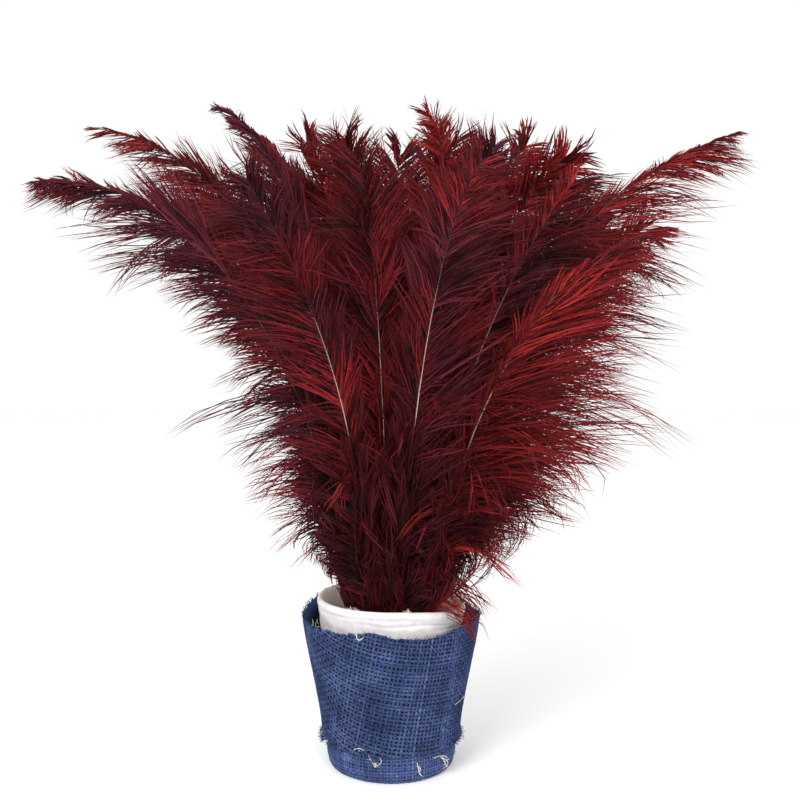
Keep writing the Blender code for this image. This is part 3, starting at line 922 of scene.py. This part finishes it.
def make_sleeve():
    """The wrap of plain-woven burlap: each warp and weft thread passes over and under the ones it crosses."""
    rng = np.random.default_rng(SLEEVE_SEED)
    bundle = Bundle(2, 190, 0.05)
    left, right, low, high = CLOTH_REACH
    for weft in (True, False):
        first, last = (low, high) if weft else (left, right)
        start, end = (left, right) if weft else (low, high)
        for fixed in np.arange(first, last, THREAD_PITCH):
            run = np.arange(start, end, THREAD_PITCH / 2)
            sway = 0.10 * THREAD_PITCH * np.sin(run / (11 * THREAD_PITCH) + rng.uniform(0, 6.3))
            sway += rng.normal(0, 0.04) * THREAD_PITCH
            over = math.cos(math.pi * round(fixed / THREAD_PITCH)) * (1 if weft else -1)
            lift = over * THREAD_CRIMP * np.cos(math.pi * run / THREAD_PITCH)
            across, up = (run, fixed + sway) if weft else (fixed + sway, run)
            line, turn, height = wrapped(across, up, lift)
            top = rim_height((GRAIN_ANGLE + turn) % 360) + rng.uniform(-0.9, 0.3) * MM
            inside = (height > HEM + rng.uniform(-0.6, 0.6) * MM) & (height < top)
            inside &= (turn < WRAP_START) & (turn > WRAP_END)
            for a, b in runs_of(inside):
                if b - a >= SHORTEST_THREAD:
                    add_yarn(rng, bundle, line[a:b], outward_of(line[a:b]), THREAD_WIDTH, THREAD_THICKNESS)
    return bundle.piece("burlap_wrap", [JUTE], ["burlap_sleeve"])


def lathe(name, profile, steps, material, replaced=(), moved=None, shades=0.5):
    """A closed turned skin through (radius, height) pairs, with a function that moves its points."""
    turn = np.arange(steps) * math.tau / steps
    radii, heights = np.array(profile).T[:, :, None]
    points = placed(radii, turn, heights)
    if moved is not None:
        points = moved(points)
    count = len(profile)
    i, j = np.meshgrid(np.arange(count), np.arange(steps), indexing="ij")
    a, b, k = i * steps, ((i + 1) % count) * steps, (j + 1) % steps
    corners = np.stack([a + j, b + j, b + k, a + k], axis=2).reshape(-1, 4)
    uv = grid_uv(j / steps, (j + 1) / steps, i / count, (i + 1) / count)
    bundle = Bundle()
    bundle.add(points.reshape(-1, 3), [(corners, uv)], np.repeat(np.broadcast_to(shades, count), steps))
    return bundle.piece(name, [material], replaced)


def compass_of(points):
    """Each point's compass angle in degrees, from 0 to 360."""
    return np.degrees(np.arctan2(points[..., 1], points[..., 0])) % 360


def torn(points):
    """A straight edge at the rim's height, brought to the torn rim."""
    share = np.clip((points[..., 2] - RIM_FLARE_START) / (RIM - RIM_FLARE_START), 0, 1)
    points[..., 2] += share * (rim_height(compass_of(points)) - RIM - 1.0 * MM)
    return points


def make_sleeve_back():
    """An almost black skin behind the burlap: painted shade that shows through its holes. The inside of its
    top is painted lighter, as painted light.
    """
    heights = np.linspace(HEM + 0.8 * MM, RIM, 14)
    outer = [(sleeve_radius(h) - SLEEVE_CLOTH / 2 - 0.25 * MM, h) for h in heights]
    inner = [(r - 0.2 * MM, h) for r, h in reversed(outer)]
    # The outer skin is painted shade, seen through the holes. The inner skin is painted lighter towards the
    # rim, as painted light falling into the top.
    dark = np.full(len(outer), 0.3)
    lit = np.interp([h for _, h in inner], [RIM - 14 * MM, RIM], [0.3, 1.2])
    shades = np.append(dark, lit)
    return lathe("burlap_painted_shade", outer + inner, 120, JUTE_SHADOW, moved=torn, shades=shades)


def base_radius(height):
    """The outer radius of the base cup."""
    return np.interp(height / MM, *zip(*BASE_PROFILE)) * MM


def make_base():
    """The base cup: finer burlap glued over the foot, woven round and up."""
    rng = np.random.default_rng(BASE_SEED)
    bundle = Bundle(2, 90, 0.05)
    pitch, width, thickness, crimp = 1.9 * MM, 1.35 * MM, 0.7 * MM, 0.26 * MM
    inset = 0.3 * MM
    lowest = 0.7 * MM
    # An even number of upright threads, so that over and under meet where the rounds close.
    around = round(math.tau * BASE_MID_RADIUS / pitch / 2) * 2
    turns = np.arange(2 * around + 1) * math.pi / around
    heights = np.arange(1.2, 21.0, pitch / MM) * MM
    for i, height in enumerate(heights):
        lift = crimp * math.cos(math.pi * i) * np.cos(around * turns / 2)
        sway = 0.25 * MM * np.sin(3 * turns + rng.uniform(0, 6.3)) + rng.normal(0, 0.1) * MM
        radius = base_radius(height) + lift - inset
        line = placed(radius, turns, height + sway)
        line[:, 2] = np.maximum(line[:, 2], lowest)
        add_yarn(rng, bundle, line, unit(line * [1, 1, 0]), width, thickness)
    for i in range(around):
        angle = (i + rng.normal(0, 0.08)) * math.tau / around
        run = np.concatenate([[0.45, 0.5], np.arange(1.0, 21.5, 0.95)]) * MM
        lift = -crimp * math.cos(math.pi * i) * np.cos(math.pi * (run - 1.2 * MM) / pitch)
        radius = base_radius(run) + lift - inset
        # The lowest point lies under the foot, where the thread is turned in.
        radius[0] -= 4 * MM
        line = placed(radius, angle, run)
        add_yarn(rng, bundle, line, np.tile(placed(1, angle, 0), (len(run), 1)), width, thickness)
    return bundle.piece("burlap_cup", [JUTE_BASE], ["burlap_base"])


def make_base_back():
    """The body under the base cup, with its flat underside. Its near-black colour is painted shade that shows
    through the weave's holes.
    """
    outer = [(base_radius(h * MM) - 0.9 * MM, h * MM) for h, _ in reversed(BASE_PROFILE)]
    outer[0] = (sleeve_radius(BASE_TOP) - SLEEVE_CLOTH - 0.6 * MM, BASE_TOP)
    outer[-1] = (33.8 * MM, 0.0)
    floor = 1.6 * MM
    inner = [(1.0 * MM, 0.0), (1.0 * MM, floor), (lining_radius(floor) + 0.4 * MM, floor)]
    inner.append((lining_radius(BASE_TOP) + 0.3 * MM, BASE_TOP))
    return lathe("burlap_cup_painted_shade", outer + inner, 120, JUTE_SHADOW)


def add_fibre(bundle, line, width, shade):
    """A thin fibre that tapers to its end, as a closed thread."""
    half = width / 2 * np.interp(np.linspace(0, 1, len(line)), [0, 0.8, 1], [1.0, 0.9, 0.35])
    add_thread(bundle, line, outward_of(line), half, half, shade)


def fibre_line(rng, start, way, length, curl):
    """A short run of points that sets off one way and wanders."""
    way = unit(np.asarray(way, float))
    points = [np.asarray(start, float)]
    for _ in range(4):
        way = unit(way + rng.normal(0, curl, 3))
        points.append(points[-1] + way * length / 4)
    return np.array(points)


def make_fray():
    """Frayed fibres along the torn rim, the hem and the foot of the burlap."""
    rng = np.random.default_rng(FRAY_SEED)
    bundle = Bundle(8, 130, 0.1)
    # Each edge, its number of fibres, how far they stand out, how far they rise, and how long they are in mm.
    edges = (
        ("rim", 330, 0.35, (0.2, 0.9), (0.8, 3.2)),
        ("hem", 420, 0.8, (-1.0, 0.1), (1.0, 3.8)),
        ("foot", 160, 0.5, (-0.4, 0.6), (0.6, 2.0)),
    )
    for edge, count, spread, rise, lengths in edges:
        for _ in range(count):
            angle = rng.uniform(0, 360)
            if edge == "hem" and rng.uniform() < WORN_SHARE:
                angle = rng.choice(WORN_PLACES) + rng.normal(0, 9)
            if edge == "rim":
                height = rim_height(np.array(angle)) - 0.6 * MM
                radius = sleeve_radius(height) - 0.6 * MM
            elif edge == "hem":
                height = HEM + rng.uniform(-0.3, 1.2) * MM
                radius = sleeve_radius(height) - 0.3 * MM
            else:
                height = rng.uniform(1.0, 16) * MM
                radius = base_radius(height) - 0.2 * MM
            turn = math.radians(angle)
            start = placed(radius, turn, height)
            round_way = placed(1, turn + math.pi / 2, 0)
            way = placed(spread, turn, 0) + round_way * rng.normal(0, 0.7) + [0, 0, rng.uniform(*rise)]
            line = fibre_line(rng, start, way, rng.uniform(*lengths) * MM, 0.3)
            line[:, 2] = np.maximum(line[:, 2], FIBRE_CLEARANCE)
            add_fibre(bundle, line, rng.uniform(0.16, 0.42) * MM, rng.uniform(0.1, 0.6))
    return bundle.piece("burlap_fray", [JUTE_BASE])


# Loose white threads on the burlap: how thick each is, as a share of a full thread, and the points it runs
# through, as (compass angle, height in mm, how far it stands off in mm).
LOOSE_THREAD_WIDTH = 0.7 * MM
LOOSE_THREADS = (
    (0.55, (240.8, 21.1, 0.8), (246.6, 22.7, 1.4), (249.7, 19.0, 1.6), (252.1, 16.1, 1.2), (256, 12.6, 0.9)),
    (0.75, (255.0, 12.6, 0.8), (257.5, 13.6, 1.4), (257.6, 11.4, 1.3), (255.6, 11.8, 0.9)),
    (0.60, (256.0, 12.4, 1.0), (259.5, 12.6, 1.6), (262.5, 14.8, 1.5), (260.1, 17.4, 1.1)),
    (0.85, (292.7, 12.5, 0.6), (293.4, 9.4, 1.1), (294.6, 6.4, 1.2), (298.5, 3.5, 1.0)),
    (0.60, (293.0, 11.0, 0.8), (295.0, 9.5, 1.6), (294.4, 7.2, 1.1)),
    (0.60, (308.3, 13.5, 0.8), (314.2, 13.6, 1.5), (320.8, 12.4, 1.8), (325.8, 10.3, 1.2)),
    (0.80, (317.0, 12.6, 1.0), (320.5, 9.4, 1.6), (322.8, 6.6, 1.6), (330.2, 2.8, 1.0)),
    (0.70, (319.0, 11.6, 1.2), (324.0, 8.6, 2.0), (325.5, 5.6, 1.6), (321.0, 4.4, 1.0)),
    (0.40, (323.3, 43.8, 0.8), (328.0, 45.1, 1.6), (333.0, 45.9, 1.5), (338.5, 45.3, 0.9)),
    (0.80, (249.6, 92.2, 0.2), (250.4, 90.2, 1.2), (252.2, 89.6, 1.4), (254.2, 91.3, 0.8)),
    (0.50, (191.0, 88.0, 0.4), (196.0, 84.0, 1.2), (199.0, 85.0, 0.8)),
    (0.45, (70.0, 30.0, 0.5), (78.0, 27.0, 1.3), (84.0, 29.0, 0.7)),
)

# The compass angles of the burrs on the lining's roll, and of the fibres between the lining and the burlap.
BURRS = (236, 243, 281, 284, 331, 20, 95, 160)
GAP_FIBRES = (183, 190, 196, 200, 204, 208, 212, 218, 330, 338, 344, 350, 70, 95, 110)


def on_burlap(compass, height, off):
    """A place on the burlap, or off its surface, at a compass angle and a height in mm."""
    height *= MM
    radius = (sleeve_radius(height) if height > BASE_SHOWN else base_radius(height) + 0.3 * MM) + off * MM
    return placed(radius, math.radians(compass), height)


def smooth_through(points, count):
    """A smooth run of points through the given ones."""
    points = np.asarray(points, float)
    padded = np.concatenate([[2 * points[0] - points[1]], points, [2 * points[-1] - points[-2]]])
    line = []
    for at in np.linspace(0, len(points) - 1.0001, count):
        i = int(at)
        t = at - i
        p0, p1, p2, p3 = padded[i : i + 4]
        bend = 2 * p0 - 5 * p1 + 4 * p2 - p3
        twist = 3 * p1 - p0 - 3 * p2 + p3
        line.append(0.5 * (2 * p1 + (p2 - p0) * t + bend * t**2 + twist * t**3))
    return np.array(line)


def make_lint():
    """Loose white cotton threads on the burlap, burrs on the lining's roll, and fibres in the gap."""
    rng = np.random.default_rng(LINT_SEED)
    bundle = Bundle(6, 60, 0.1)
    for width, *through in LOOSE_THREADS:
        line = smooth_through([on_burlap(*point) for point in through], 16)
        add_fibre(bundle, line, width * LOOSE_THREAD_WIDTH, 0.5)
        for _ in range(5):
            start = line[rng.integers(2, 14)]
            fibre = fibre_line(rng, start, outward_of(start[None])[0] + rng.normal(0, 0.8, 3), 2.2 * MM, 0.4)
            fibre[:, 2] = np.maximum(fibre[:, 2], FIBRE_CLEARANCE)
            add_fibre(bundle, fibre, 0.2 * MM, 0.5)
    for compass in BURRS:
        for _ in range(6):
            turn = math.radians(compass + rng.normal(0, 1.2))
            radius = lining_radius(LINING_TOP) - rng.uniform(0.0, 1.6) * MM
            dip = LINING_DIP * max(0.0, math.cos(turn)) ** 2
            start = placed(radius, turn, LINING_TOP + 0.9 * MM - dip)
            way = [rng.normal(0, 0.4), rng.normal(0, 0.4), 1.0]
            add_fibre(bundle, fibre_line(rng, start, way, rng.uniform(1.5, 3.4) * MM, 0.3), 0.28 * MM, 0.5)
    for compass in GAP_FIBRES:
        turn = math.radians(compass + rng.normal(0, 5))
        radius = (lining_radius(RIM) + sleeve_radius(RIM)) / 2 + rng.uniform(-1.5, 0.5) * MM
        start = placed(radius, turn, RIM - rng.uniform(1, 8) * MM)
        way = [rng.normal(0, 0.5), rng.normal(0, 0.5), rng.uniform(-0.2, 1.0)]
        add_fibre(bundle, fibre_line(rng, start, way, rng.uniform(3, 7) * MM, 0.5), 0.25 * MM, 0.3)
    return bundle.piece("cotton_lint", [LINT])


# The lining's folds: height, depth and half width in mm, compass angle and half span in degrees, and how far
# the fold rises for each degree round, in mm.
LINING_FOLDS = (
    (98.2, 0.55, 0.7, 262, 42, 0.02),
    (94.4, 0.60, 0.8, 285, 40, 0.00),
    (96.6, 0.35, 1.2, 240, 26, -0.05),
    (92.0, 0.40, 1.0, 325, 24, 0.06),
    (90.0, 0.55, 0.8, 345, 22, -0.08),
    (95.0, 0.50, 0.8, 60, 50, 0.02),
    (97.0, 0.45, 0.9, 130, 44, -0.02),
)


def folded(points):
    """The lining's wall with its folds and lumps, and with its rim sagging at the right."""
    x, y, height = np.moveaxis(points, -1, 0)
    angle = compass_of(points)
    radius = np.hypot(x, y)
    change = np.zeros_like(angle)
    for fold_height, depth, width, place, span, rise in LINING_FOLDS:
        away = degrees_from(place, angle)
        line = (fold_height + rise * away + 0.5 * np.sin(away / 9.0 + fold_height)) * MM
        near = np.exp(-(((height - line) / (width * MM)) ** 2)) * np.exp(-((away / span) ** 4))
        change -= depth * MM * near
    broad = 0.5 * np.sin(np.radians(angle) * 5 + 40 * height / MM / 57)
    lumps = broad + 0.35 * np.sin(np.radians(angle) * 11)
    change += 0.4 * MM * lumps * np.clip((height / MM - 80) / 12, 0, 1)
    shown = (height > 78 * MM) & (radius > lining_radius(height) - 0.2 * MM)
    scale = 1 + np.where(shown, change, 0) / np.maximum(radius, MM)
    share = np.clip(height / LINING_TOP - 0.6, 0, None) / 0.4
    sag = LINING_DIP * share * np.clip(x * scale / lining_radius(LINING_TOP), 0, None) ** 2
    return np.stack([x * scale, y * scale, height - sag], axis=-1)


def make_lining():
    """The vessel with its white lining, rolled over at the rim, wrinkled, and sagging at the right."""
    top = LINING_TOP
    # The roll of the rim, from its inside: how far each point lies out from the wall and up, in mm.
    roll = ((-1.3, 1.3), (-0.4, 1.1), (0.2, 0.5), (0.6, -0.5), (0.7, -1.5), (0.6, -2.8))
    outer = [(lining_radius(top) + out * MM, top + up * MM) for out, up in roll]
    outer += [(lining_radius(h * MM) + 0.3 * MM, h * MM) for h in np.arange(97.6, 80.0, -0.6)]
    outer += [(lining_radius(0.6 * top), 0.6 * top), (lining_radius(3 * MM), 3.0 * MM)]
    outer += [(lining_radius(0) - 0.6 * MM, 1.9 * MM), (1.0 * MM, 1.9 * MM)]
    inner = [(1.0 * MM, 4.1 * MM), (lining_radius(0) - 3.0 * MM, 4.1 * MM)]
    inner += [(lining_radius(h) - LINING_WALL, h) for h in (6.0 * MM, 0.6 * top, 0.8 * top)]
    inner.append((lining_radius(top) - LINING_WALL - 0.6 * MM, top - 1.5 * MM))
    inner.append((lining_radius(top) - LINING_WALL - 0.2 * MM, top + 0.4 * MM))
    return lathe("cotton_lining", outer + inner, 240, COTTON, ["liner"], moved=folded)


# ---------------------------------------------------------------- light, floor, camera


def make_floor():
    """A plain pale floor that reaches well past the bunch's shadow."""
    bpy.ops.mesh.primitive_plane_add(size=6, location=(0, 0, FLOOR))
    floor = bpy.context.object
    floor.name = "floor"
    material = new_material("pale floor")
    surface = node(material, "BsdfPrincipled", {"Base Color": linear("#fafafa"), "Roughness": 0.9})
    floor.data.materials.append(finish_material(material, surface))


def make_light():
    """A white room of light, with a large soft lamp at each side of the front."""
    world = bpy.data.worlds.new("studio")
    world.use_nodes = True
    world.node_tree.nodes["Background"].inputs["Color"].default_value = (1, 1, 1, 1)
    world.node_tree.nodes["Background"].inputs["Strength"].default_value = 1.0
    bpy.context.scene.world = world
    # Each lamp's place in metres and power in watts. Both shine at the middle of the bunch.
    lamps = (("key", (-0.8, -1.4, 1.3), 24), ("fill", (0.5, -1.8, 0.6), 20))
    target = Vector((0, 0, 0.2))
    for name, place, power in lamps:
        data = bpy.data.lights.new(name, "AREA")
        data.shape = "DISK"
        data.size = 1.0
        data.energy = power
        lamp = bpy.data.objects.new(name, data)
        bpy.context.scene.collection.objects.link(lamp)
        lamp.location = place
        lamp.rotation_euler = (target - Vector(place)).to_track_quat("-Z", "Y").to_euler()


def make_camera():
    """A camera in front of the bunch, a little above its middle, that looks slightly down."""
    downward = 3.5
    data = bpy.data.cameras.new("camera")
    data.sensor_width = 36
    data.lens = 48
    camera = bpy.data.objects.new("camera", data)
    bpy.context.scene.collection.objects.link(camera)
    camera.location = (5.4 * MM, -640 * MM, 260 * MM)
    camera.rotation_euler = (math.radians(90 - downward), 0, 0)
    bpy.context.scene.camera = camera
    bpy.context.scene.view_settings.view_transform = "Standard"


JUTE = jute_material("dyed jute yarn", "#18203e", "#334369", "#5c6c98")
# The back of the burlap: painted shade, with painted light at the top of its inside.
JUTE_SHADOW = jute_material("jute back in painted shade", "#0b1022", "#121a34", "#3c4c74")
JUTE_BASE = jute_material("fine dyed jute", "#222c50", "#42517c", "#6c7ca8")
COTTON = cotton_material("white cotton lining", "#dcdce0", "#f8f9fb")
LINT = cotton_material("white cotton lint", "#dcd6ce", "#f8f6f2")
QUILL = quill_material()
# Each dye's dark, middle and bright shade, the colour of the barbs' ends, and the middle and bright shade of
# the patches where the dye took differently.
DYES = {
    "wine": ("#2c0b10", "#68181c", "#a82a2e", "#5a1419", "#4c1a26", "#7e2c3c"),
    "crimson": ("#380c11", "#7e1a1c", "#b83030", "#70181c", "#801e1a", "#b63229"),
    "brick": ("#3e1012", "#7c201c", "#b0322a", "#6a1a1c", "#681818", "#962828"),
    "plum": ("#260d15", "#4a1c28", "#7e2c3c", "#64181e", "#5e161c", "#942428"),
}
BARBS = {dye: barb_material(f"{dye} barbs", *shades) for dye, shades in DYES.items()}
make_camera()
make_floor()
make_light()
make_feathers()
wrap = make_sleeve()
wrap_back = make_sleeve_back()
cup = make_base()
cup_back = make_base_back()
fray = make_fray()
lining = make_lining()
lint = make_lint()
